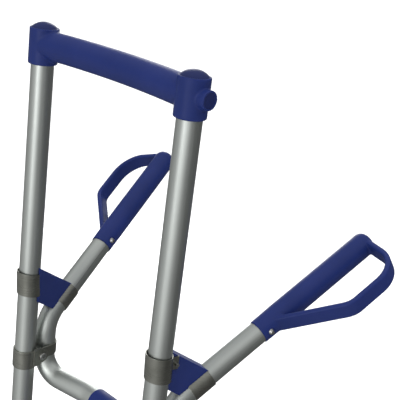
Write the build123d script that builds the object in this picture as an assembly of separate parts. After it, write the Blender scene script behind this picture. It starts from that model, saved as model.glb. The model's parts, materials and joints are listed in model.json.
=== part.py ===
from build123d import *
import os
from math import cos, radians, sin

# A two-wheeled aluminium hand truck: two straight uprights joined by bowed plastic crossbars, a bent
# handlebar behind them with two guarded grips, and at the foot a toe plate, an axle and two wheels.
# Millimetres. X runs across the truck, +Y is the side the user stands on, +Z is up, Z = 0 is the floor.
# The parts are drawn with Y = 0 in the plane of the uprights and moved to the row's origin on export.

# Overall
TOTAL_HEIGHT = 1300.0
TUBE_R = 15.0
TUBE_WALL = 2.0
BORE_R = TUBE_R - TUBE_WALL
UPRIGHT_X = 134.0

# Crossbars and their sockets
SOCKET_R = 19.0
SOCKET_HEIGHT = 46.5
CAP_RISE = 7.0
CAP_R = 16.8
CAP_PLUG = 15.0
BAR_R = 18.4
BAR_ABOVE_RIM = 25.3
BAR_BOW = 12.0
BAR_FILLET = 3.5
BOSS_R = 11.4
BOSS_REACH = 27.0
BOSS_ABOVE_RIM = 25.0
COVER_R = 9.0
COVER_DEPTH = 4.5
COVER_SET_BACK = 0.8
FLUSH_HEAD_R = 7.5
FLUSH_HEAD = 2.6
FLUSH_SET_BACK = 1.6
RIM_Z = TOTAL_HEIGHT - CAP_RISE - SOCKET_HEIGHT
CROSSBAR_RIMS = {"top": RIM_Z, "middle": 590.0, "lower": 250.0}

# Crossbar bolts (M8, hexagon head under the cover)
BOLT_R = 4.0
BOLT_HEAD_R = 7.0
BOLT_HEAD_HEIGHT = 5.0
BOLT_IN_BAR = 48.0
HOLE_SLACK = 0.3

# Handlebar: a vertical stretch behind each upright, a straight handle that rises to the rear and
# outward from it, and a run across the truck below the clamps that bows to the rear
HANDLE_Y = 35.4
HANDLE_ELEVATION = 33.3
HANDLE_SPLAY = 13.4
UPPER_CORNER_Z = RIM_Z - 379.7
CROSS_RUN_Z = RIM_Z - 469.5
CROSS_RUN_Y = HANDLE_Y + 16.0
CROSS_KNEE_X = 44.0
UPPER_BEND_R = 42.0
LOWER_BEND_R = 34.0
CROSS_BEND_R = 60.0
SPIGOT_HALF = 36.0
SLEEVE_R = 17.3
SLEEVE_HALF = 28.0
SLEEVE_EDGE = 2.0

# Guarded grips, along the handle from the upper corner. The two are one moulding, each turned a little
# about its handle before it is riveted: up (negative) or down (positive) from the level position.
GRIP_START = 144.3
GRIP_R = 16.8
GRIP_LONG = 205.0
GRIP_END_R = 12.0
GRIP_BORE = 188.0
ROOT_R = 16.3
ROOT_TAPER = 34.0
RIVET_ALONG = 12.0
RIVET_R = 2.4
RIVET_HEAD_R = 4.5
RIVET_HEAD = 1.8
GRIP_TURN = {"right": -5.0, "left": 18.0}
GUARD_OUT = 80.0
GUARD_START = (196.0, 8.0)
GUARD_TIP = 188.0
GUARD_KNEE = 102.0
GUARD_FOOT = (26.0, 11.0)
GUARD_THICK = 8.0
GUARD_WIDE = 23.0
GUARD_EDGE_R = 2.5
GUARD_TIP_R = 42.0
GUARD_KNEE_R = 24.0

# Upper clamp: plastic spacer between upright and handle, with a steel band round each tube
BAND_THICK = 1.4
BAND_CLEAR = 0.9
BAND_LEAN = 3.0
BAND_SLOPE = 6.0
BAND_MID_Z = RIM_Z - 312.5
BAND_HEIGHT = 34.0
HANDLE_BAND_FROM = 26.0
HANDLE_BAND_LONG = 32.0
SPACER_HALF = 9.0
SPACER_TOP_Z = RIM_Z - 294.0
SPACER_REAR = (48.0, RIM_Z - 339.8)
SPACER_FOOT = (14.0, RIM_Z - 371.5)
SPACER_HEEL_Z = RIM_Z - 347.5
SPACER_FRONT = -21.0
SPACER_CORNER_R = 5.0
EAR_HALF = 1.5
EAR_LONG = 12.0
EAR_WIDE = 18.0
EAR_PIN_R = 2.5
EAR_PIN_HALF = 7.5
EAR_PIN_OUT = 7.0

# Lower clamp: two bent straps drawn together by one screw between the tubes
STRAP_THICK = 2.0
CLAMP_Z = RIM_Z - 429.5
UPRIGHT_STRAP_HEIGHT = 28.0
UPRIGHT_STRAP_DROP = 3.0
HANDLE_STRAP_TOP_Z = CLAMP_Z + 12.0
HANDLE_STRAP_HEIGHT = 18.0
LOBE_R = 11.0
CLAMP_SCREW_Y = HANDLE_Y / 2
CLAMP_SCREW_R = 2.5
CLAMP_HEAD_R = 5.5
CLAMP_HEAD = 3.5
CLAMP_NUT_R = 5.2
CLAMP_NUT = 5.0
CROSS_RECESS = 1.4

# Foot: castings, toe plate, axle and wheels
WHEEL_R = 125.0
AXLE_Y = 85.0
AXLE_R = 10.0
AXLE_CLEAR = 0.06
AXLE_HALF = UPRIGHT_X + 111.0
CASTING_BOTTOM = 3.0
CASTING_TOP = 130.0
CASTING_R = 20.0
CASTING_FLOOR = 5.0
PAD_FRONT = 22.0
PAD_HALF = 17.0
PAD_TOP = 88.0
WEB_HALF = 7.0
AXLE_BOSS_R = 19.0
AXLE_BOSS_HALF = 18.0
CROSS_BOLT_Z = 106.0
PLATE_THICK = 5.0
PLATE_HALF = UPRIGHT_X + 33.0
PLATE_DEPTH = 230.0
PLATE_BACK_HEIGHT = 96.0
PLATE_BEND_R = 4.0
PLATE_CORNER_R = 14.0
PLATE_LEAD = 9.0
PLATE_LEAD_RISE = 3.0
GUSSET = 52.0
PLATE_SCREW_ZS = (32.0, 70.0)
PLATE_SCREW_LONG = 11.5
COUNTERSINK_R = 7.5
COUNTERSINK = 3.6

WHEEL_MID_X = UPRIGHT_X + 69.0
TYRE_HALF = 28.0
TYRE_BED_R = 96.0
TYRE_SHOULDER = 9.0
GROOVE_DEEP = 4.0
GROOVE_WIDE = 4.0
RIM_HALF = 25.0
RIM_FLANGE_R = 100.0
RIM_FLANGE = 4.0
RIM_INNER_R = 86.0
HUB_R = 24.0
HUB_HALF = 30.0
RIM_WEB_HALF = 19.0
POCKETS = 6
POCKET_R = 20.0
POCKET_AT = 55.0
POCKET_DEEP = 6.0
BUSH_R = 15.0
BUSH_LONG = 22.0
BUSH_LIP = 2.0
BUSH_LIP_R = 18.0
WASHER_R = 17.0
WASHER_THICK = 2.5
RING_THICK = 2.0
RING_R = 15.5
RING_GROOVE = 1.2
CAP_SHELL_LONG = 18.0
CAP_SHELL_WALL = 2.0

SIDES = ("right", "left")
MIN_Z = (Align.CENTER, Align.CENTER, Align.MIN)

# The handle's own directions on the right: along it, outward across it, and level towards the rear
ALONG = Vector(
    sin(radians(HANDLE_SPLAY)) * cos(radians(HANDLE_ELEVATION)),
    cos(radians(HANDLE_SPLAY)) * cos(radians(HANDLE_ELEVATION)),
    sin(radians(HANDLE_ELEVATION)),
)
LEVEL = Vector(sin(radians(HANDLE_SPLAY)), cos(radians(HANDLE_SPLAY)), 0)
ACROSS = Vector(cos(radians(HANDLE_SPLAY)), -sin(radians(HANDLE_SPLAY)), 0)
CORNER = Vector(UPRIGHT_X, HANDLE_Y, UPPER_CORNER_Z)
CORNER_FOOT = Vector(UPRIGHT_X, HANDLE_Y, 0)
FLUSH_FACE_X = UPRIGHT_X + SOCKET_R - FLUSH_SET_BACK

FRONT_Y = -PAD_FRONT - PLATE_THICK - PLATE_DEPTH
REAR_Y = (CORNER + ALONG * (GRIP_START + GRIP_LONG)).Y + GRIP_R / 2
ORIGIN_Y = (FRONT_Y + REAR_Y) / 2


def rod(start, end, radius):
    """A round bar from one point to another."""
    axis = Vector(*end) - Vector(*start)
    return Plane(origin=Vector(*start), z_dir=axis) * Cylinder(radius, axis.length, align=MIN_Z)


def across(x_from, x_to, y, z, radius):
    """A round bar along X."""
    return rod((x_from, y, z), (x_to, y, z), radius)


def hexagon_bar(x_from, x_to, y, z, radius):
    """A hexagonal bar along X, for bolt heads and nuts."""
    plane = Plane(origin=(x_from, y, z), x_dir=(0, 1, 0), z_dir=(x_to - x_from, 0, 0))
    return extrude(plane * RegularPolygon(radius, 6), abs(x_to - x_from))


def upright_post(radius, z_from, z_to):
    """A round bar on the right upright's axis."""
    return Pos(UPRIGHT_X, 0, z_from) * Cylinder(radius, z_to - z_from, align=MIN_Z)


def on_side(shape, side):
    """The shape as drawn for the right side, or its mirror image for the left."""
    return shape if side == "right" else mirror(shape, about=Plane.YZ)


def both_sides(*shapes):
    """Identical small pieces, on both sides, as separate solids of one node."""
    return Compound([on_side(shape, side) for side in SIDES for shape in shapes])


# --- uprights, crossbars and their fastenings -------------------------------------------------------


def upright():
    tube = upright_post(TUBE_R, CASTING_BOTTOM + CASTING_FLOOR, RIM_Z + SOCKET_HEIGHT)
    tube -= upright_post(BORE_R, 0, TOTAL_HEIGHT)
    for rim in CROSSBAR_RIMS.values():
        tube -= bolt_hole(rim)
    return tube - cross_bolt_hole()


def bolt_hole(rim):
    reach = TUBE_R + 1
    return across(UPRIGHT_X - reach, UPRIGHT_X + reach, 0, rim + BOSS_ABOVE_RIM, BOLT_R + HOLE_SLACK)


def crossbar(rim):
    """A bowed bar with a socket at each end; its bolt is in a boss on the right and flush on the left."""
    axis_z = rim + BAR_ABOVE_RIM
    path = ThreePointArc((-UPRIGHT_X, 0, axis_z), (0, BAR_BOW, axis_z), (UPRIGHT_X, 0, axis_z))
    bar = sweep(Plane(origin=path @ 0, z_dir=path % 0) * Circle(BAR_R), path=path)
    for side in (-1, 1):
        bar += Pos(side * UPRIGHT_X, 0, rim) * Cylinder(SOCKET_R, SOCKET_HEIGHT, align=MIN_Z)
    seams = bar.edges().filter_by(lambda edge: edge.geom_type not in (GeomType.CIRCLE, GeomType.LINE))
    inner = seams.filter_by(lambda edge: SOCKET_R / 4 < UPRIGHT_X - abs(edge.center().X) < SOCKET_R * 2)
    bar = fillet(inner, BAR_FILLET)
    boss_z = rim + BOSS_ABOVE_RIM
    face = UPRIGHT_X + BOSS_REACH
    bar += across(UPRIGHT_X, face, 0, boss_z, BOSS_R)
    for side in (-1, 1):
        bar -= Pos(side * UPRIGHT_X, 0, rim - 1) * Cylinder(TUBE_R, SOCKET_HEIGHT + 2, align=MIN_Z)
    bar -= across(face, face - COVER_DEPTH, 0, boss_z, COVER_R)
    bar -= across(face, face - COVER_DEPTH - BOLT_HEAD_HEIGHT, 0, boss_z, BOLT_HEAD_R + 1)
    bar -= across(face, UPRIGHT_X - BOLT_IN_BAR, 0, boss_z, BOLT_R)
    bar -= across(-UPRIGHT_X - SOCKET_R, -FLUSH_FACE_X, 0, boss_z, FLUSH_HEAD_R)
    return bar - flush_blank(rim)


def boss_bolt(rim):
    """The hexagon bolt at the bar's right end, its head inside the boss."""
    z = rim + BOSS_ABOVE_RIM
    seat = UPRIGHT_X + BOSS_REACH - COVER_DEPTH - BOLT_HEAD_HEIGHT
    shank = across(seat, UPRIGHT_X - BOLT_IN_BAR, 0, z, BOLT_R)
    return shank + hexagon_bar(seat, seat + BOLT_HEAD_HEIGHT, 0, z, BOLT_HEAD_R)


def flush_blank(rim):
    z = rim + BOSS_ABOVE_RIM
    shank = across(-FLUSH_FACE_X, BOLT_IN_BAR - UPRIGHT_X, 0, z, BOLT_R)
    inward = Plane(origin=(-FLUSH_FACE_X, 0, z), z_dir=(1, 0, 0))
    head = inward * Cone(FLUSH_HEAD_R, BOLT_R, FLUSH_HEAD, align=MIN_Z)
    return shank + head


def flush_bolt(rim):
    """The countersunk bolt at the bar's left end, its head sunk in the socket's wall."""
    z = rim + BOSS_ABOVE_RIM
    bottom = FLUSH_HEAD * 0.7 - FLUSH_FACE_X
    return flush_blank(rim) - hexagon_bar(-FLUSH_FACE_X, bottom, 0, z, BOLT_R * 0.7)


def bolt_cover(rim):
    """A round plastic plug, slightly dished, that closes the boss over the bolt's head."""
    z = rim + BOSS_ABOVE_RIM
    outer = UPRIGHT_X + BOSS_REACH - COVER_SET_BACK
    plug = across(UPRIGHT_X + BOSS_REACH - COVER_DEPTH, outer, 0, z, COVER_R)
    dish_r = 60.0
    return plug - Pos(outer + dish_r - 1.0, 0, z) * Sphere(dish_r)


def top_cap():
    """A domed cap on the upright's end, with a plug inside the tube."""
    seat = RIM_Z + SOCKET_HEIGHT
    dome_r = (CAP_R**2 + CAP_RISE**2) / (2 * CAP_RISE)
    dome = Pos(UPRIGHT_X, 0, seat + CAP_RISE - dome_r) * Sphere(dome_r)
    dome &= upright_post(CAP_R, seat, TOTAL_HEIGHT)
    return dome + upright_post(BORE_R, seat - CAP_PLUG, seat)


# --- handlebar and grips ----------------------------------------------------------------------------


def handle_point(distance):
    """A point on the straight handle's axis, measured from the corner where it leaves the vertical."""
    return CORNER + ALONG * distance


def handle_sweep(start, section):
    """A section swept along the handlebar, from a point on the handle down to the middle of the truck."""
    path = FilletPolyline(
        handle_point(start),
        CORNER,
        (UPRIGHT_X, HANDLE_Y, CROSS_RUN_Z),
        (CROSS_KNEE_X, CROSS_RUN_Y, CROSS_RUN_Z),
        (0, CROSS_RUN_Y, CROSS_RUN_Z),
        radius=[UPPER_BEND_R, LOWER_BEND_R, CROSS_BEND_R],
    )
    return sweep(Plane(origin=path @ 0, z_dir=path % 0) * section, path=path)


def handle_tube(side):
    ring = Circle(TUBE_R) - Circle(BORE_R)
    return handle_sweep(GRIP_START + GRIP_BORE, ring) - rivet_shank(side, RIVET_R)


def grip_plane(side):
    """Local X runs along the handle from the grip's root, local Y outward in the guard's plane."""
    root = handle_point(GRIP_START)
    outward = ACROSS - ALONG * ACROSS.dot(ALONG)
    return Plane(origin=root, x_dir=ALONG, z_dir=ALONG.cross(outward)) * Rot(GRIP_TURN[side], 0, 0)


def rivet_shank(side, radius):
    return grip_plane(side) * Pos(RIVET_ALONG, 0, 0) * Rot(90, 0, 0) * Cylinder(radius, 2 * GRIP_R)


def guarded_grip(side):
    """A round hand grip with a rounded end, and a flat bow outside it that guards the knuckles."""
    lying = Rot(0, 90, 0)
    body = lying * Cylinder(GRIP_R, GRIP_LONG - ROOT_TAPER, align=MIN_Z)
    body = fillet(body.edges().filter_by(GeomType.CIRCLE).sort_by(Axis.X)[-1], GRIP_END_R)
    grip = Pos(ROOT_TAPER, 0, 0) * body + lying * Cone(ROOT_R, GRIP_R, ROOT_TAPER, align=MIN_Z)
    path = FilletPolyline(
        (*GUARD_START, 0),
        (GUARD_TIP, GUARD_OUT, 0),
        (GUARD_KNEE, GUARD_OUT, 0),
        (*GUARD_FOOT, 0),
        radius=[GUARD_TIP_R, GUARD_KNEE_R],
    )
    section = Plane(origin=path @ 0, x_dir=(0, 0, 1), z_dir=path % 0)
    grip += sweep(section * RectangleRounded(GUARD_WIDE, GUARD_THICK, GUARD_EDGE_R), path=path)
    grip -= lying * Cylinder(TUBE_R, GRIP_BORE, align=MIN_Z)
    return grip_plane(side) * grip - grip_rivet(side)


def grip_rivet(side):
    rivet = rivet_shank(side, RIVET_R)
    for end in (-1, 1):
        seat = grip_plane(side) * Pos(RIVET_ALONG, end * (GRIP_R - RIVET_HEAD / 2), 0)
        rivet += seat * Rot(-90 * end, 0, 0) * Cone(RIVET_HEAD_R, RIVET_R, RIVET_HEAD * 2, align=MIN_Z)
    return rivet


def cross_sleeve():
    sleeve = across(-SLEEVE_HALF, SLEEVE_HALF, CROSS_RUN_Y, CROSS_RUN_Z, SLEEVE_R)
    sleeve = fillet(sleeve.edges().filter_by(GeomType.CIRCLE), SLEEVE_EDGE)
    return sleeve - across(-UPRIGHT_X, UPRIGHT_X, CROSS_RUN_Y, CROSS_RUN_Z, TUBE_R)


def joint_spigot():
    """A short inner tube that joins the two halves of the handlebar under the sleeve."""
    spigot = across(-SPIGOT_HALF, SPIGOT_HALF, CROSS_RUN_Y, CROSS_RUN_Z, BORE_R)
    return spigot - across(-SPIGOT_HALF, SPIGOT_HALF, CROSS_RUN_Y, CROSS_RUN_Z, BORE_R - TUBE_WALL)


# --- upper clamp ------------------------------------------------------------------------------------


def spacer_plane():
    """Upright plane through the handle's axis: local X level towards the rear, local Y up."""
    return Plane(origin=CORNER_FOOT, x_dir=LEVEL, z_dir=LEVEL.cross(Vector(0, 0, 1)))


def ear(plane, gap):
    """A doubled tongue from a band into the spacer, with the pin that holds it there."""
    tongue = plane * Pos(gap + EAR_LONG / 2, 0, 0) * Box(EAR_LONG, EAR_WIDE, 2 * EAR_HALF)
    pin = plane * Pos(gap + EAR_PIN_OUT, 0, 0) * Cylinder(EAR_PIN_R, 2 * EAR_PIN_HALF)
    return tongue, pin


def upright_ear():
    plane = Plane(origin=(UPRIGHT_X, 0, BAND_MID_Z), x_dir=LEVEL, z_dir=LEVEL.cross(Vector(0, 0, 1)))
    return ear(plane, TUBE_R + BAND_CLEAR)


def handle_ear():
    """The tongue of the handle's band stands square to the handle, up into the spacer."""
    middle = handle_point(HANDLE_BAND_FROM + EAR_WIDE / 2 + 1)
    side = LEVEL.cross(Vector(0, 0, 1))
    plane = Plane(origin=middle, x_dir=side.cross(ALONG), z_dir=side)
    return ear(plane, TUBE_R + BAND_THICK / 2)


def upright_band():
    """A steel band that leans off the upright at its top front edge; its ends slope with the spacer."""
    middle = Pos(UPRIGHT_X, 0, BAND_MID_Z)
    lean = middle * Rot(BAND_LEAN, 0, 0)
    length = 2 * BAND_HEIGHT
    inner_r = TUBE_R + BAND_CLEAR
    ring = lean * Cylinder(inner_r + BAND_THICK, length) - lean * Cylinder(inner_r, length)
    slab = middle * Rot(-BAND_SLOPE, 0, 0) * Box(length, length, BAND_HEIGHT)
    tongue, pin = upright_ear()
    return (ring & slab) + tongue - pin - upright_post(TUBE_R, 0, TOTAL_HEIGHT)


def handle_band():
    start = handle_point(HANDLE_BAND_FROM)
    end = handle_point(HANDLE_BAND_FROM + HANDLE_BAND_LONG)
    tongue, pin = handle_ear()
    return rod(start, end, TUBE_R + BAND_THICK) + tongue - pin - rod(CORNER, end + ALONG, TUBE_R)


def spacer():
    """The wedge between upright and handle, moulded round both tubes, both bands and their pins."""
    reach = SPACER_FRONT * 1.6
    slope = (SPACER_TOP_Z - SPACER_REAR[1]) / (SPACER_REAR[0] - SPACER_FRONT)
    rise = (SPACER_HEEL_Z - SPACER_FOOT[1]) / (SPACER_FOOT[0] - SPACER_FRONT)
    extra = SPACER_FRONT - reach
    outline = Polyline(
        (reach, SPACER_TOP_Z + slope * extra),
        SPACER_REAR,
        (SPACER_REAR[0] - 3, SPACER_FOOT[1] + 8),
        SPACER_FOOT,
        (reach, SPACER_HEEL_Z + rise * extra),
        close=True,
    )
    face = fillet(make_face(outline).vertices().sort_by(Axis.X)[-1], SPACER_CORNER_R)
    wedge = extrude(spacer_plane() * face, SPACER_HALF, both=True)
    wedge -= upright_post(TUBE_R, 0, TOTAL_HEIGHT)
    wedge -= rod(CORNER, handle_point(GRIP_START), TUBE_R)
    band_end = handle_point(HANDLE_BAND_FROM + HANDLE_BAND_LONG)
    wedge -= rod(handle_point(HANDLE_BAND_FROM), band_end, TUBE_R + BAND_THICK)
    for tongue, pin in (upright_ear(), handle_ear()):
        wedge -= tongue + pin
    wedge -= upright_band() + handle_sweep(GRIP_START, Circle(TUBE_R))
    return wedge.solids().sort_by(SortBy.VOLUME)[-1]


def spacer_pins():
    return [pin for _, pin in (upright_ear(), handle_ear())]


# --- lower clamp ------------------------------------------------------------------------------------


def bent_strap(centre_y, facing, inner_r, top_z, height):
    """A strip bent round one side of a tube, with two flat legs that run on past the tube's middle."""
    low = top_z - height
    outer = Pos(UPRIGHT_X, centre_y, low) * Cylinder(inner_r + STRAP_THICK, height, align=MIN_Z)
    leg_long = CLAMP_SCREW_Y + LOBE_R
    leg_mid_y = centre_y - facing * leg_long / 2
    leg_x = inner_r + STRAP_THICK / 2
    block = Pos(UPRIGHT_X, centre_y + facing * inner_r, low + height / 2)
    outer &= block * Box(4 * inner_r, 2 * inner_r, height)
    leg = Box(STRAP_THICK, leg_long, height)
    for sign in (-1, 1):
        outer += Pos(UPRIGHT_X + sign * leg_x, leg_mid_y, low + height / 2) * leg
    return outer - Pos(UPRIGHT_X, centre_y, low) * Cylinder(inner_r, height, align=MIN_Z)


def lobed(strap, root_y, height):
    """Trims a strap's legs to a round lobe about the clamp screw, and drills them."""
    lobe = across(0, 2 * UPRIGHT_X, CLAMP_SCREW_Y, CLAMP_Z, LOBE_R)
    far_y = root_y + (root_y - CLAMP_SCREW_Y) * 2
    taper = Polyline(
        (far_y, CLAMP_Z - height),
        (root_y, CLAMP_Z - height),
        (CLAMP_SCREW_Y, CLAMP_Z - LOBE_R),
        (CLAMP_SCREW_Y, CLAMP_Z + LOBE_R),
        (root_y, CLAMP_Z + height),
        (far_y, CLAMP_Z + height),
        close=True,
    )
    side_view = extrude(Plane.YZ * make_face(taper), 2 * UPRIGHT_X)
    kept = strap & (side_view + lobe)
    return kept - across(0, 2 * UPRIGHT_X, CLAMP_SCREW_Y, CLAMP_Z, CLAMP_SCREW_R + HOLE_SLACK)


def upright_strap():
    """The front strap, whose legs step outward to lie on those of the handle's strap."""
    top = CLAMP_Z + UPRIGHT_STRAP_HEIGHT / 2 - UPRIGHT_STRAP_DROP
    strap = bent_strap(0, -1, TUBE_R, top, UPRIGHT_STRAP_HEIGHT)
    step_y = CLAMP_SCREW_Y - LOBE_R - 1
    for sign in (-1, 1):
        outer_x = UPRIGHT_X + sign * (TUBE_R + STRAP_THICK * 1.5)
        inner_x = UPRIGHT_X + sign * (TUBE_R + STRAP_THICK * 0.5)
        reach = CLAMP_SCREW_Y + LOBE_R - step_y + STRAP_THICK
        mid_y = (CLAMP_SCREW_Y + LOBE_R + step_y - STRAP_THICK) / 2
        strap += Pos(outer_x, mid_y, CLAMP_Z) * Box(STRAP_THICK, reach, UPRIGHT_STRAP_HEIGHT)
        strap -= Pos(inner_x, step_y + 50, CLAMP_Z) * Box(STRAP_THICK, 100, 2 * UPRIGHT_STRAP_HEIGHT)
    return lobed(strap, 0, UPRIGHT_STRAP_HEIGHT)


def handle_strap():
    strap = bent_strap(HANDLE_Y, 1, TUBE_R, HANDLE_STRAP_TOP_Z, HANDLE_STRAP_HEIGHT)
    return lobed(strap, HANDLE_Y, HANDLE_STRAP_HEIGHT)


def clamp_screw():
    """A cross-head screw between the two tubes, its head on the inner side of the truck."""
    seat = TUBE_R + 2 * STRAP_THICK
    inner = UPRIGHT_X - seat
    screw = across(inner, UPRIGHT_X + seat + CLAMP_NUT + 2, CLAMP_SCREW_Y, CLAMP_Z, CLAMP_SCREW_R)
    head = across(inner, inner - CLAMP_HEAD, CLAMP_SCREW_Y, CLAMP_Z, CLAMP_HEAD_R)
    head = fillet(head.edges().filter_by(GeomType.CIRCLE).sort_by(Axis.X)[0], CLAMP_HEAD / 2)
    for turn in (0, 90):
        slot = Pos(inner - CLAMP_HEAD, CLAMP_SCREW_Y, CLAMP_Z) * Rot(turn, 0, 0)
        head -= slot * Box(2 * CROSS_RECESS, CLAMP_HEAD_R * 1.2, CROSS_RECESS)
    return screw + head


def clamp_nut():
    seat = UPRIGHT_X + TUBE_R + 2 * STRAP_THICK
    nut = hexagon_bar(seat, seat + CLAMP_NUT, CLAMP_SCREW_Y, CLAMP_Z, CLAMP_NUT_R)
    return nut - across(seat, seat + CLAMP_NUT, CLAMP_SCREW_Y, CLAMP_Z, CLAMP_SCREW_R)


# --- foot -------------------------------------------------------------------------------------------


def cross_bolt_hole():
    reach = CASTING_R + 2
    return across(UPRIGHT_X - reach, UPRIGHT_X + reach, 0, CROSS_BOLT_Z, BOLT_R + HOLE_SLACK)


def foot_casting():
    """A casting that holds the upright's end, carries the axle behind it and the toe plate in front."""
    casting = upright_post(CASTING_R, CASTING_BOTTOM, CASTING_TOP)
    pad_high = PAD_TOP - CASTING_BOTTOM
    pad = Box(2 * PAD_HALF, PAD_FRONT, pad_high)
    casting += Pos(UPRIGHT_X, -PAD_FRONT / 2, CASTING_BOTTOM + pad_high / 2) * pad
    web = Polyline(
        (0, CASTING_BOTTOM + 12),
        (CASTING_R + 6, CASTING_BOTTOM + 12),
        (AXLE_Y + 8, WHEEL_R - AXLE_BOSS_R + 2),
        (AXLE_Y - 4, WHEEL_R + AXLE_BOSS_R - 2),
        (0, CASTING_TOP - 4),
        close=True,
    )
    casting += Pos(UPRIGHT_X - WEB_HALF, 0, 0) * extrude(Plane.YZ * make_face(web), 2 * WEB_HALF)
    boss_from = UPRIGHT_X - AXLE_BOSS_HALF
    casting += across(boss_from, UPRIGHT_X + AXLE_BOSS_HALF, AXLE_Y, WHEEL_R, AXLE_BOSS_R)
    casting -= upright_post(TUBE_R, CASTING_BOTTOM + CASTING_FLOOR, CASTING_TOP)
    casting -= across(0, 2 * UPRIGHT_X, AXLE_Y, WHEEL_R, AXLE_R)
    screw_end = PLATE_SCREW_LONG - PAD_FRONT - PLATE_THICK
    for z in PLATE_SCREW_ZS:
        casting -= rod((UPRIGHT_X, -PAD_FRONT, z), (UPRIGHT_X, screw_end, z), BOLT_R)
    return casting - cross_bolt_hole()


def cross_bolt():
    seat = UPRIGHT_X + CASTING_R
    shank = across(UPRIGHT_X - CASTING_R - 8, seat, 0, CROSS_BOLT_Z, BOLT_R)
    return shank + hexagon_bar(seat, seat + BOLT_HEAD_HEIGHT, 0, CROSS_BOLT_Z, BOLT_HEAD_R)


def cross_nut():
    seat = UPRIGHT_X - CASTING_R
    nut = hexagon_bar(seat, seat - 6.5, 0, CROSS_BOLT_Z, BOLT_HEAD_R)
    return nut - across(seat, seat - 6.5, 0, CROSS_BOLT_Z, BOLT_R)


def plate_screws():
    """Countersunk screws from the toe plate's back into the castings."""
    head_y = -PAD_FRONT - PLATE_THICK
    screws = []
    for z in PLATE_SCREW_ZS:
        shank = rod((UPRIGHT_X, head_y, z), (UPRIGHT_X, head_y + PLATE_SCREW_LONG, z), BOLT_R)
        cone = Cone(COUNTERSINK_R, BOLT_R, COUNTERSINK, align=MIN_Z)
        screws.append(shank + Plane(origin=(UPRIGHT_X, head_y, z), z_dir=(0, 1, 0)) * cone)
    return screws


def toe_plate():
    """A folded plate: a blade on the floor, an upright back and a gusset at each side."""
    back_y = -PAD_FRONT
    front_y = back_y - PLATE_THICK
    profile = Polyline(
        (FRONT_Y, 0),
        (back_y, 0),
        (back_y, PLATE_BACK_HEIGHT),
        (front_y, PLATE_BACK_HEIGHT),
        (front_y, PLATE_THICK),
        (FRONT_Y + PLATE_LEAD, PLATE_THICK),
        (FRONT_Y, PLATE_THICK - PLATE_LEAD_RISE),
        close=True,
    )
    face = make_face(profile)
    outer_bend = face.vertices().sort_by_distance((back_y, 0))[0]
    inner_bend = face.vertices().sort_by_distance((front_y, PLATE_THICK))[0]
    face = fillet(outer_bend, PLATE_BEND_R + PLATE_THICK)
    face = fillet(face.vertices().sort_by_distance((inner_bend.X, inner_bend.Y))[0], PLATE_BEND_R)
    plate = extrude(Plane.YZ * face, PLATE_HALF, both=True)
    corners = plate.edges().filter_by(Axis.Z).group_by(Axis.Y)[0]
    plate = fillet(corners, PLATE_CORNER_R)
    triangle = Polyline(
        (front_y + 1, PLATE_THICK - 1),
        (front_y - GUSSET, PLATE_THICK - 1),
        (front_y + 1, PLATE_THICK + GUSSET),
        close=True,
    )
    gusset = extrude(Plane.YZ * make_face(triangle), PLATE_THICK)
    for x in (-PLATE_HALF, PLATE_HALF - PLATE_THICK):
        plate += Pos(x, 0, 0) * gusset
    for side in SIDES:
        for screw in plate_screws():
            plate -= on_side(screw, side)
    return plate


def axle():
    bar = across(-AXLE_HALF, AXLE_HALF, AXLE_Y, WHEEL_R, AXLE_R)
    bar = chamfer(bar.edges().filter_by(GeomType.CIRCLE), 1.0)
    for side in SIDES:
        bar -= on_side(retaining_ring(), side)
    return bar


def washer(x_from):
    disc = across(x_from, x_from + WASHER_THICK, AXLE_Y, WHEEL_R, WASHER_R)
    return disc - across(x_from, x_from + WASHER_THICK, AXLE_Y, WHEEL_R, AXLE_R)


HUB_END = HUB_HALF + BUSH_LIP
RING_X = WHEEL_MID_X + HUB_END + 0.5 + WASHER_THICK


def axle_washers():
    """One washer inside and one outside each wheel."""
    inner_x = WHEEL_MID_X - HUB_END - 0.5 - WASHER_THICK
    return [washer(inner_x), washer(RING_X - WASHER_THICK)]


def wheel_spacer():
    """A tube on the axle that keeps the wheel off the casting."""
    start = UPRIGHT_X + AXLE_BOSS_HALF
    end = WHEEL_MID_X - HUB_END - 0.5 - WASHER_THICK
    return across(start, end, AXLE_Y, WHEEL_R, AXLE_R + 4) - across(start, end, AXLE_Y, WHEEL_R, AXLE_R)


def retaining_ring():
    """An external circlip, open at the bottom, in its groove near the axle's end."""
    ring = across(RING_X, RING_X + RING_THICK, AXLE_Y, WHEEL_R, RING_R)
    ring -= across(RING_X, RING_X + RING_THICK, AXLE_Y, WHEEL_R, AXLE_R - RING_GROOVE)
    return ring - Pos(RING_X + RING_THICK / 2, AXLE_Y, WHEEL_R - RING_R) * Box(2 * RING_THICK, 6, 16)


# --- wheels -----------------------------------------------------------------------------------------


def turned(points):
    """A ring turned about the wheel's axis from (along X from mid-wheel, radius) points."""
    face = make_face(Polyline(*[(x, 0, r) for x, r in points], close=True))
    ring = revolve(face, Axis.X, 360)
    return Pos(WHEEL_MID_X, AXLE_Y, WHEEL_R) * ring


def tyre():
    """A solid rubber tyre with a stepped shoulder and three grooves round its tread."""
    tread = [(-TYRE_HALF + TYRE_SHOULDER, WHEEL_R)]
    for centre in (-10.0, 0.0, 10.0):
        for x, deep in ((-0.5, 0), (-0.3, 1), (0.3, 1), (0.5, 0)):
            tread.append((centre + x * GROOVE_WIDE, WHEEL_R - deep * GROOVE_DEEP))
    tread.append((TYRE_HALF - TYRE_SHOULDER, WHEEL_R))
    shoulder_r = WHEEL_R - TYRE_SHOULDER
    bed = RIM_HALF - RIM_FLANGE
    right = [(TYRE_HALF - 2, shoulder_r + 3), (TYRE_HALF, shoulder_r - 6), (RIM_HALF, RIM_FLANGE_R)]
    right += [(bed, RIM_FLANGE_R), (bed, TYRE_BED_R)]
    left = [(-x, r) for x, r in reversed(right)]
    return turned(tread + right + left)


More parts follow.
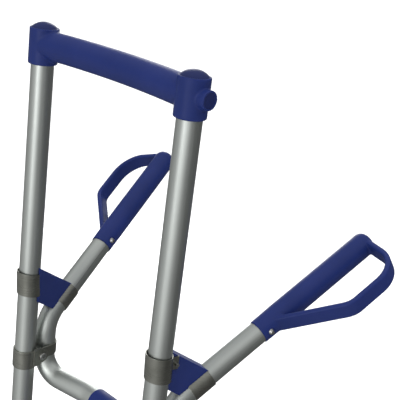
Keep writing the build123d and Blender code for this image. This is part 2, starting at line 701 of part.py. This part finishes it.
def rim():
    """A moulded rim: a hub, a thick web with round pockets in both faces, and a flange each side."""
    bed = RIM_HALF - RIM_FLANGE
    half = [(RIM_WEB_HALF, HUB_R), (RIM_WEB_HALF, RIM_INNER_R), (RIM_HALF, RIM_INNER_R + 2)]
    half += [(RIM_HALF, RIM_FLANGE_R), (bed, RIM_FLANGE_R), (bed, TYRE_BED_R)]
    hub = [(HUB_HALF, BUSH_R), (HUB_HALF, HUB_R)]
    outline = hub + half
    wheel = turned(outline + [(-x, r) for x, r in reversed(outline)])
    for k in range(POCKETS):
        turn = radians(360.0 / POCKETS * (k + 0.5))
        y = AXLE_Y + POCKET_AT * cos(turn)
        z = WHEEL_R + POCKET_AT * sin(turn)
        for side in (-1, 1):
            face_x = WHEEL_MID_X + side * RIM_WEB_HALF
            wheel -= across(face_x, face_x - side * POCKET_DEEP, y, z, POCKET_R)
    return wheel


def wheel_bush(facing):
    """A plain bearing pressed into one end of the hub, with a lip against the hub's face."""
    inner_r = AXLE_R + AXLE_CLEAR
    face = HUB_HALF
    points = [(face - BUSH_LONG, inner_r), (face + BUSH_LIP, inner_r), (face + BUSH_LIP, BUSH_LIP_R)]
    points += [(face, BUSH_LIP_R), (face, BUSH_R), (face - BUSH_LONG, BUSH_R)]
    return turned([(facing * x, r) for x, r in points])


def hub_cap():
    """A shallow cap over the axle's end, clipped round the outer end of the hub."""
    start = HUB_HALF - 6
    end = start + CAP_SHELL_LONG + 8
    inner = end - CAP_SHELL_WALL
    wall_r = HUB_R + CAP_SHELL_WALL
    points = [(start, HUB_R), (start, wall_r), (end - 7, wall_r - 1), (end, wall_r - 8), (end, 0)]
    points += [(inner, 0), (inner, wall_r - 10), (end - 8, wall_r - 3), (start + 8, HUB_R)]
    return turned(points)


# --- nodes ------------------------------------------------------------------------------------------


def nodes():
    """Every node's name and shape, in the drawing's frame."""
    made = {}
    for level, rim_z in CROSSBAR_RIMS.items():
        made[f"{level}_crossbar"] = crossbar(rim_z)
        made[f"{level}_bolt_cover"] = bolt_cover(rim_z)
    made["crossbar_boss_bolts"] = Compound([boss_bolt(rim_z) for rim_z in CROSSBAR_RIMS.values()])
    made["crossbar_flush_bolts"] = Compound([flush_bolt(rim_z) for rim_z in CROSSBAR_RIMS.values()])
    for side in SIDES:
        made[f"handle_tube_{side}"] = on_side(handle_tube(side), side)
        made[f"guarded_grip_{side}"] = on_side(guarded_grip(side), side)
        made[f"grip_rivet_{side}"] = on_side(grip_rivet(side), side)
    sided = {
        "upright": upright(),
        "top_cap": top_cap(),
        "spacer": spacer(),
        "upright_band": upright_band(),
        "handle_band": handle_band(),
        "clamp_upright_strap": upright_strap(),
        "clamp_handle_strap": handle_strap(),
        "clamp_screw": clamp_screw(),
        "clamp_nut": clamp_nut(),
        "foot_casting": foot_casting(),
        "wheel_spacer": wheel_spacer(),
        "tyre": tyre(),
        "wheel_rim": rim(),
        "wheel_bush_inner": wheel_bush(-1),
        "wheel_bush_outer": wheel_bush(1),
        "hub_cap": hub_cap(),
    }
    for name, shape in sided.items():
        for side in SIDES:
            made[f"{name}_{side}"] = on_side(shape, side)
    made["cross_sleeve"] = cross_sleeve()
    made["joint_spigot"] = joint_spigot()
    made["toe_plate"] = toe_plate()
    made["axle"] = axle()
    made["spacer_pins"] = both_sides(*spacer_pins())
    made["foot_cross_bolts"] = both_sides(cross_bolt())
    made["foot_cross_nuts"] = both_sides(cross_nut())
    made["toe_plate_screws"] = both_sides(*plate_screws())
    made["axle_washers"] = both_sides(*axle_washers())
    made["retaining_rings"] = both_sides(retaining_ring())
    return made


def main():
    os.makedirs("parts", exist_ok=True)
    for name, shape in nodes().items():
        export_step(Pos(0, -ORIGIN_Y, 0) * shape, f"parts/{name}.step")


main()
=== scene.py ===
import json
from math import cos, radians, sin

import bpy
from mathutils import Matrix, Vector


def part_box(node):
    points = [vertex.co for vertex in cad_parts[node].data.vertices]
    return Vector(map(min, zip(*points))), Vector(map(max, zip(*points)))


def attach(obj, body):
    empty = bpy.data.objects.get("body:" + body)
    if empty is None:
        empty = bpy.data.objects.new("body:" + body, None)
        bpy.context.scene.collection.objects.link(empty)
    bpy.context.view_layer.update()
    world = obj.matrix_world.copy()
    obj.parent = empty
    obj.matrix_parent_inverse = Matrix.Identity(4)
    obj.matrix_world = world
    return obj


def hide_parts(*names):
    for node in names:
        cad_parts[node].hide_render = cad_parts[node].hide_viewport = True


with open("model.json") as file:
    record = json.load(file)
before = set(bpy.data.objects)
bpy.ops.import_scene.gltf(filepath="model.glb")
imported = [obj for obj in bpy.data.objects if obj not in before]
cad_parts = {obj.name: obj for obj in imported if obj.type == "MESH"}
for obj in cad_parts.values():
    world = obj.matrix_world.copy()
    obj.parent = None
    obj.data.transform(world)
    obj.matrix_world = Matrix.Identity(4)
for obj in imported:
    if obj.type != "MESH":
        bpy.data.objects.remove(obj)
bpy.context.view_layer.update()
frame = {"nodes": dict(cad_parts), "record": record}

# A two-wheeled aluminium hand truck, seen from above its front right corner. Metres, in the frame's own axes.

MM = 0.001
NODES = frame["nodes"]
SIDES = ("right", "left")

# Camera
SENSOR = 36.0
CLIP_END = 200.0
LENS = 74.85
AZIMUTH = 41.38
ELEVATION = 19.78
ROLL = 7.63
AIM_OUTWARD = 0.0307
AIM_BELOW_RIM = 0.0855
AIM_DISTANCE = 0.9138

# Stage
FLOOR_SIZE = 60.0
DOME_RADIUS = 29.0

# Studio: brightness by direction, where 1 in a facing range means straight at the azimuth
TOP_WHITE = 0.75
TOP_RANGE = (0.25, 0.9)
FRONT_GREY = 0.50
BACK_GREY = 0.13
BRIGHT_AZIMUTH = -5.0
BRIGHT_RANGE = (-0.3, 0.9)
STRIPS = ((22.0, 1.5), (225.0, 0.9))
STRIP_RANGE = (0.87, 0.94)

# Lamps: a soft one overhead, and an upright panel before and behind the truck
OVERHEAD_STRENGTH = 3.0
OVERHEAD_SPREAD = 120.0
PANELS = {"key": 6.0, "fill": 225.0}
PANEL_SIZE = (0.7, 2.4)
PANEL_POWER = 14.0
PANEL_DISTANCE = 2.6
PANEL_HEIGHT = 1.4
PANEL_TARGET = (0, 0, 0.95)


# --- shader helpers ---------------------------------------------------------------------------------


class Tree:
    """A node tree, and short calls that add nodes to it."""

    def __init__(self, tree):
        self.tree = tree

    def node(self, kind, inputs=(), **settings):
        made = self.tree.nodes.new(kind)
        for key, value in settings.items():
            setattr(made, key, value)
        for key, value in dict(inputs).items():
            if isinstance(value, bpy.types.NodeSocket):
                self.tree.links.new(value, made.inputs[key])
            else:
                made.inputs[key].default_value = value
        return made

    def spread(self, value, low, high, from_low=0.3, from_high=0.7):
        """Carries a value's range on to another."""
        inputs = {"Value": value, "From Min": from_low, "From Max": from_high, "To Min": low, "To Max": high}
        return self.node("ShaderNodeMapRange", inputs).outputs["Result"]

    def mixed(self, factor, first, second):
        """A colour between two, by factor."""
        made = self.node("ShaderNodeMix", data_type="RGBA")
        self.tree.links.new(factor, made.inputs["Factor"])
        for key, value in (("A", first), ("B", second)):
            socket = [s for s in made.inputs if s.name == key and s.type == "RGBA"][0]
            if isinstance(value, bpy.types.NodeSocket):
                self.tree.links.new(value, socket)
            else:
                socket.default_value = (*value, 1.0)
        return [s for s in made.outputs if s.type == "RGBA"][0]


class Shader(Tree):
    """A material with a Principled shader."""

    def __init__(self, name):
        self.material = bpy.data.materials.new(name)
        self.material.use_nodes = True
        super().__init__(self.material.node_tree)
        self.shader = self.tree.nodes["Principled BSDF"]

    def set(self, **values):
        for key, value in values.items():
            self.shader.inputs[key.replace("_", " ")].default_value = value
        return self

    def link(self, output, socket):
        self.tree.links.new(output, self.shader.inputs[socket])

    def place(self, stretch=(1, 1, 1)):
        """Object coordinates in metres, stretched."""
        where = self.node("ShaderNodeTexCoord").outputs["Object"]
        return self.node("ShaderNodeMapping", {"Vector": where, "Scale": stretch}).outputs["Vector"]

    def noise(self, scale, detail=3.0, stretch=(1, 1, 1), roughness=0.5):
        inputs = {"Vector": self.place(stretch), "Scale": scale, "Detail": detail, "Roughness": roughness}
        return self.node("ShaderNodeTexNoise", inputs).outputs["Fac"]

    def cells(self, scale, stretch=(1, 1, 1)):
        inputs = {"Vector": self.place(stretch), "Scale": scale}
        return self.node("ShaderNodeTexVoronoi", inputs).outputs["Distance"]

    def bump(self, height, distance, strength=1.0, under=None):
        inputs = {"Height": height, "Distance": distance, "Strength": strength}
        if under is not None:
            inputs["Normal"] = under
        return self.node("ShaderNodeBump", inputs).outputs["Normal"]


# --- materials --------------------------------------------------------------------------------------


def satin_aluminium():
    """Anodised tube: even satin, with faint drawing lines along the tube and soft cloudiness."""
    s = Shader("satin_aluminium").set(Metallic=1.0)
    cloud = s.noise(9.0, 2.0)
    lines = s.noise(1400.0, 2.0, (1, 1, 0.012))
    grain = s.noise(2600.0, 1.0)
    s.link(s.mixed(s.spread(cloud, 0, 1), (0.52, 0.55, 0.53), (0.58, 0.61, 0.585)), "Base Color")
    s.link(s.spread(lines, 0.40, 0.48), "Roughness")
    fine = s.bump(grain, 0.00002, 0.25)
    s.link(s.bump(lines, 0.00003, 0.35, fine), "Normal")
    return s.material


def moulded_plastic(name, dark, light, rough):
    """Injection-moulded plastic: fine spark-eroded grain, slight clouding and a softer sheen in patches."""
    s = Shader(name).set(Specular_IOR_Level=0.16)
    cloud = s.noise(14.0, 3.0)
    grain = s.noise(1500.0, 3.0)
    wave = s.noise(60.0, 1.0)
    s.link(s.mixed(s.spread(cloud, 0, 1), dark, light), "Base Color")
    s.link(s.spread(wave, rough - 0.04, rough + 0.06), "Roughness")
    low = s.bump(wave, 0.0004, 0.25)
    s.link(s.bump(grain, 0.00008, 0.5, low), "Normal")
    return s.material


def blue_plastic():
    return moulded_plastic("blue_plastic", (0.007, 0.016, 0.090), (0.010, 0.020, 0.110), 0.42)


def dark_blue_plastic():
    return moulded_plastic("dark_blue_plastic", (0.006, 0.011, 0.056), (0.009, 0.015, 0.074), 0.36)


def band_steel():
    """Dark brushed strip, with lines that run round the tube and small stains."""
    s = Shader("band_steel").set(Metallic=1.0)
    stain = s.noise(70.0, 3.0)
    lines = s.noise(700.0, 2.0, (0.05, 0.05, 1.6))
    s.link(s.mixed(s.spread(stain, 0, 1), (0.25, 0.255, 0.225), (0.33, 0.335, 0.30)), "Base Color")
    s.link(s.spread(lines, 0.26, 0.36), "Roughness")
    s.link(s.bump(lines, 0.00005, 0.4), "Normal")
    return s.material


def zinc_steel():
    """Plated fasteners, with a faint spangle."""
    s = Shader("zinc_steel").set(Metallic=1.0)
    spangle = s.cells(420.0)
    s.link(s.mixed(s.spread(spangle, 0, 1, 0.1, 0.6), (0.34, 0.35, 0.345), (0.44, 0.445, 0.43)), "Base Color")
    s.link(s.spread(s.noise(300.0), 0.24, 0.38), "Roughness")
    s.link(s.bump(s.noise(1600.0), 0.00003, 0.4), "Normal")
    return s.material


def cast_aluminium():
    """Blasted casting: an even pebbled grain."""
    s = Shader("cast_aluminium").set(Metallic=1.0)
    s.link(s.mixed(s.spread(s.noise(30.0), 0, 1), (0.40, 0.41, 0.41), (0.50, 0.51, 0.51)), "Base Color")
    s.link(s.spread(s.noise(200.0), 0.42, 0.55), "Roughness")
    s.link(s.bump(s.noise(900.0, 3.0), 0.00018, 0.6), "Normal")
    return s.material


def plate_aluminium():
    """Rolled plate: long rolling lines across the blade, and scuffs where loads slide on."""
    s = Shader("plate_aluminium").set(Metallic=1.0)
    lines = s.noise(900.0, 2.0, (0.02, 1, 1))
    scuff = s.noise(50.0, 6.0, (3.0, 0.35, 1), 0.7)
    s.link(s.mixed(s.spread(scuff, 0, 1, 0.5, 0.75), (0.50, 0.51, 0.51), (0.62, 0.63, 0.63)), "Base Color")
    s.link(s.spread(scuff, 0.30, 0.48, 0.35, 0.7), "Roughness")
    s.link(s.bump(lines, 0.00005, 0.45), "Normal")
    return s.material


def axle_steel():
    """Bright bar, with fine turning lines round it."""
    s = Shader("axle_steel").set(Metallic=1.0)
    turned = s.noise(1500.0, 2.0, (1, 0.05, 0.05))
    s.link(s.mixed(s.spread(s.noise(25.0), 0, 1), (0.42, 0.42, 0.41), (0.52, 0.52, 0.51)), "Base Color")
    s.link(s.spread(turned, 0.22, 0.36), "Roughness")
    s.link(s.bump(turned, 0.00003, 0.4), "Normal")
    return s.material


def tyre_rubber():
    """Matt black rubber with a little grey dust in the grain."""
    s = Shader("tyre_rubber").set(Specular_IOR_Level=0.35)
    dust = s.noise(45.0, 5.0, (1, 1, 1), 0.65)
    black, dusty = (0.018, 0.018, 0.019), (0.045, 0.043, 0.040)
    s.link(s.mixed(s.spread(dust, 0, 1, 0.4, 0.75), black, dusty), "Base Color")
    s.link(s.spread(dust, 0.62, 0.85), "Roughness")
    s.link(s.bump(s.noise(700.0, 4.0), 0.00025, 0.7), "Normal")
    return s.material


def bush_plastic():
    """Unpainted off-white bearing plastic."""
    s = Shader("bush_plastic").set(Specular_IOR_Level=0.4)
    s.link(s.mixed(s.spread(s.noise(60.0), 0, 1), (0.62, 0.60, 0.55), (0.70, 0.69, 0.64)), "Base Color")
    s.link(s.spread(s.noise(200.0), 0.38, 0.5), "Roughness")
    s.link(s.bump(s.noise(900.0), 0.0001, 0.3), "Normal")
    return s.material


MAKERS = {
    "satin_aluminium": satin_aluminium,
    "blue_plastic": blue_plastic,
    "dark_blue_plastic": dark_blue_plastic,
    "band_steel": band_steel,
    "zinc_steel": zinc_steel,
    "cast_aluminium": cast_aluminium,
    "plate_aluminium": plate_aluminium,
    "axle_steel": axle_steel,
    "tyre_rubber": tyre_rubber,
    "rim_plastic": lambda: moulded_plastic("rim_plastic", (0.008, 0.017, 0.092), (0.011, 0.021, 0.112), 0.46),
    "bush_plastic": bush_plastic,
}
MATERIALS = {name: make() for name, make in MAKERS.items()}
SLOT_OF = {entry["node"]: entry["material_slot"] for entry in frame["record"]["subparts"]}
BODY_OF = {node: body for body, nodes in frame["record"]["behaviour"]["bodies"].items() for node in nodes}


def dress(obj, slot):
    """Gives an object one slot's material."""
    obj.data.materials.clear()
    obj.data.materials.append(MATERIALS[slot])


# --- CAD nodes as they are, with eased edges --------------------------------------------------------

EASED = {
    "top_cap": 0.5, "upright_band": 0.35, "handle_band": 0.35, "clamp_upright_strap": 0.5,
    "clamp_handle_strap": 0.5, "clamp_screw": 0.25, "clamp_nut": 0.5, "tyre": 0.8, "wheel_rim": 0.8,
    "hub_cap": 0.6, "toe_plate": 0.6,
}
DEFAULT_EASE = 0.3
EASE_ANGLE = 35.0


def ease(obj, width):
    """Rounds an object's sharp edges by modifiers, so that they catch the light."""
    weld = obj.modifiers.new("weld", "WELD")
    weld.merge_threshold = 0.01 * MM
    bevel = obj.modifiers.new("ease", "BEVEL")
    bevel.width = width * MM
    bevel.segments = 2
    bevel.limit_method = "ANGLE"
    bevel.angle_limit = radians(EASE_ANGLE)
    obj.data.polygons.foreach_set("use_smooth", [True] * len(obj.data.polygons))
    smooth = obj.modifiers.new("normals", "WEIGHTED_NORMAL")
    smooth.keep_sharp = True


def base_name(node):
    """A node's name without its side."""
    for side in SIDES:
        node = node.removesuffix(f"_{side}")
    return node


# --- mouldings, remade with soft transitions --------------------------------------------------------

MOULDINGS = {"guarded_grip": 1.1, "spacer": 0.9, "foot_casting": 1.3}
CROSSBAR_VOXEL = 1.1
SMOOTH_TURNS = 6


def mould(node, voxel):
    """A copy of a CAD node with every edge and junction softened as a moulding's are."""
    source = NODES[node]
    piece = bpy.data.objects.new(f"{node}_moulding", source.data.copy())
    bpy.context.scene.collection.objects.link(piece)
    remesh = piece.modifiers.new("remesh", "REMESH")
    remesh.mode = "VOXEL"
    remesh.voxel_size = voxel * MM
    soften = piece.modifiers.new("soften", "SMOOTH")
    soften.factor = 0.5
    soften.iterations = SMOOTH_TURNS
    apply_modifiers(piece)
    piece.data.polygons.foreach_set("use_smooth", [True] * len(piece.data.polygons))
    settle(piece, node)
    return piece


def apply_modifiers(piece):
    """Replaces a piece's mesh by the mesh that its modifiers make."""
    graph = bpy.context.evaluated_depsgraph_get()
    made = bpy.data.meshes.new_from_object(piece.evaluated_get(graph))
    piece.modifiers.clear()
    piece.data = made


def settle(piece, node):
    """Puts a piece in a CAD node's place: its body, its slot and its material."""
    dress(piece, SLOT_OF[node])
    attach(piece, BODY_OF[node])
    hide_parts(node)


def dress_nodes():
    """Gives every CAD node its material and its soft edges."""
    for name, obj in NODES.items():
        dress(obj, SLOT_OF[name])
        kind = base_name(name)
        if kind in MOULDINGS:
            mould(name, MOULDINGS[kind])
        elif kind.endswith("crossbar"):
            mould(name, CROSSBAR_VOXEL)
        else:
            ease(obj, EASED.get(kind, DEFAULT_EASE))


# --- stage, light and camera ------------------------------------------------------------------------


def floor():
    """A plain pale floor that the metal doesn't mirror."""
    mesh = bpy.data.meshes.new("floor")
    half = FLOOR_SIZE / 2
    corners = [(-half, -half, 0), (half, -half, 0), (half, half, 0), (-half, half, 0)]
    mesh.from_pydata(corners, [], [(0, 1, 2, 3)])
    obj = bpy.data.objects.new("floor", mesh)
    bpy.context.scene.collection.objects.link(obj)
    obj.visible_glossy = False
    s = Shader("floor").set(Roughness=0.9, Base_Color=(0.86, 0.86, 0.86, 1.0), Specular_IOR_Level=0.1)
    obj.data.materials.append(s.material)


def backdrop():
    """A white dome behind everything, seen by the camera and by nothing else."""
    bpy.ops.mesh.primitive_uv_sphere_add(radius=DOME_RADIUS)
    obj = bpy.context.object
    obj.name = "backdrop"
    obj.visible_glossy = False
    obj.visible_diffuse = False
    obj.visible_shadow = False
    white = (1.0, 1.0, 1.0, 1.0)
    s = Shader("backdrop").set(Base_Color=(0, 0, 0, 1), Emission_Color=white, Emission_Strength=1.0)
    obj.data.materials.append(s.material)


def panel(name, azimuth):
    """A soft upright lamp that faces the truck from an azimuth."""
    data = bpy.data.lights.new(name, "AREA")
    data.shape = "RECTANGLE"
    data.size, data.size_y = PANEL_SIZE
    data.energy = PANEL_POWER
    light = bpy.data.objects.new(name, data)
    bpy.context.scene.collection.objects.link(light)
    light.location = around(azimuth, PANEL_DISTANCE, PANEL_HEIGHT)
    light.rotation_mode = "QUATERNION"
    light.rotation_quaternion = (Vector(PANEL_TARGET) - light.location).to_track_quat("-Z", "Y")
    light.visible_camera = False


def around(azimuth, distance, height):
    """A place round the object, by the azimuth of a camera that would stand there."""
    turn = radians(azimuth)
    return (distance * sin(turn), -distance * cos(turn), height)


def facing(tree, way, azimuth):
    """How nearly a direction points at an azimuth: 1 for straight at it."""
    made = tree.node("ShaderNodeVectorMath", {0: way, 1: around(azimuth, 1, 0)}, operation="DOT_PRODUCT")
    return made.outputs["Value"]


def studio():
    """The world: pale overhead, lighter on one side than on the other, with two bright upright strips."""
    world = bpy.data.worlds.new("studio")
    world.use_nodes = True
    tree = Tree(world.node_tree)
    way = tree.node("ShaderNodeTexCoord").outputs["Generated"]
    height = tree.node("ShaderNodeSeparateXYZ", {"Vector": way}).outputs["Z"]
    front = tree.spread(facing(tree, way, BRIGHT_AZIMUTH), 0, 1, *BRIGHT_RANGE)
    level = tree.mixed(front, (BACK_GREY,) * 3, (FRONT_GREY,) * 3)
    for azimuth, white in STRIPS:
        strip = tree.spread(facing(tree, way, azimuth), 0, 1, *STRIP_RANGE)
        level = tree.mixed(strip, level, (white,) * 3)
    sky = tree.mixed(tree.spread(height, 0, 1, *TOP_RANGE), level, (TOP_WHITE,) * 3)
    tree.tree.links.new(sky, tree.tree.nodes["Background"].inputs["Color"])
    bpy.context.scene.world = world


def overhead():
    """A wide soft light from above that whitens the floor and leaves the metal's reflections alone."""
    data = bpy.data.lights.new("overhead", "SUN")
    data.energy = OVERHEAD_STRENGTH
    data.angle = radians(OVERHEAD_SPREAD)
    light = bpy.data.objects.new("overhead", data)
    bpy.context.scene.collection.objects.link(light)
    light.visible_glossy = False


def lights():
    """The studio's world and its lamps."""
    studio()
    overhead()
    for name, azimuth in PANELS.items():
        panel(name, azimuth)


def camera():
    """The photo's camera, aimed from the middle of the right upright and the crossbar's lower edge."""
    data = bpy.data.cameras.new("camera")
    data.sensor_width = SENSOR
    data.lens = LENS
    data.clip_end = CLIP_END
    turn, tilt, roll = radians(AZIMUTH), radians(ELEVATION), radians(ROLL)
    forward = Vector((-sin(turn) * cos(tilt), cos(turn) * cos(tilt), -sin(tilt)))
    level = Vector((cos(turn), sin(turn), 0))
    rise = level.cross(forward)
    right = level * cos(roll) + rise * sin(roll)
    up = rise * cos(roll) - level * sin(roll)
    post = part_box("upright_right")
    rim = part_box("top_crossbar")[0].z
    middle = (post[0] + post[1]) / 2
    aim = Vector((middle.x + AIM_OUTWARD, middle.y, rim - AIM_BELOW_RIM))
    obj = bpy.data.objects.new("camera", data)
    bpy.context.scene.collection.objects.link(obj)
    place = aim - forward * AIM_DISTANCE
    obj.matrix_world = Matrix.Translation(place) @ Matrix((right, up, -forward)).transposed().to_4x4()
    bpy.context.scene.camera = obj


camera()
floor()
backdrop()
lights()
dress_nodes()
bpy.context.scene.view_settings.view_transform = "Standard"
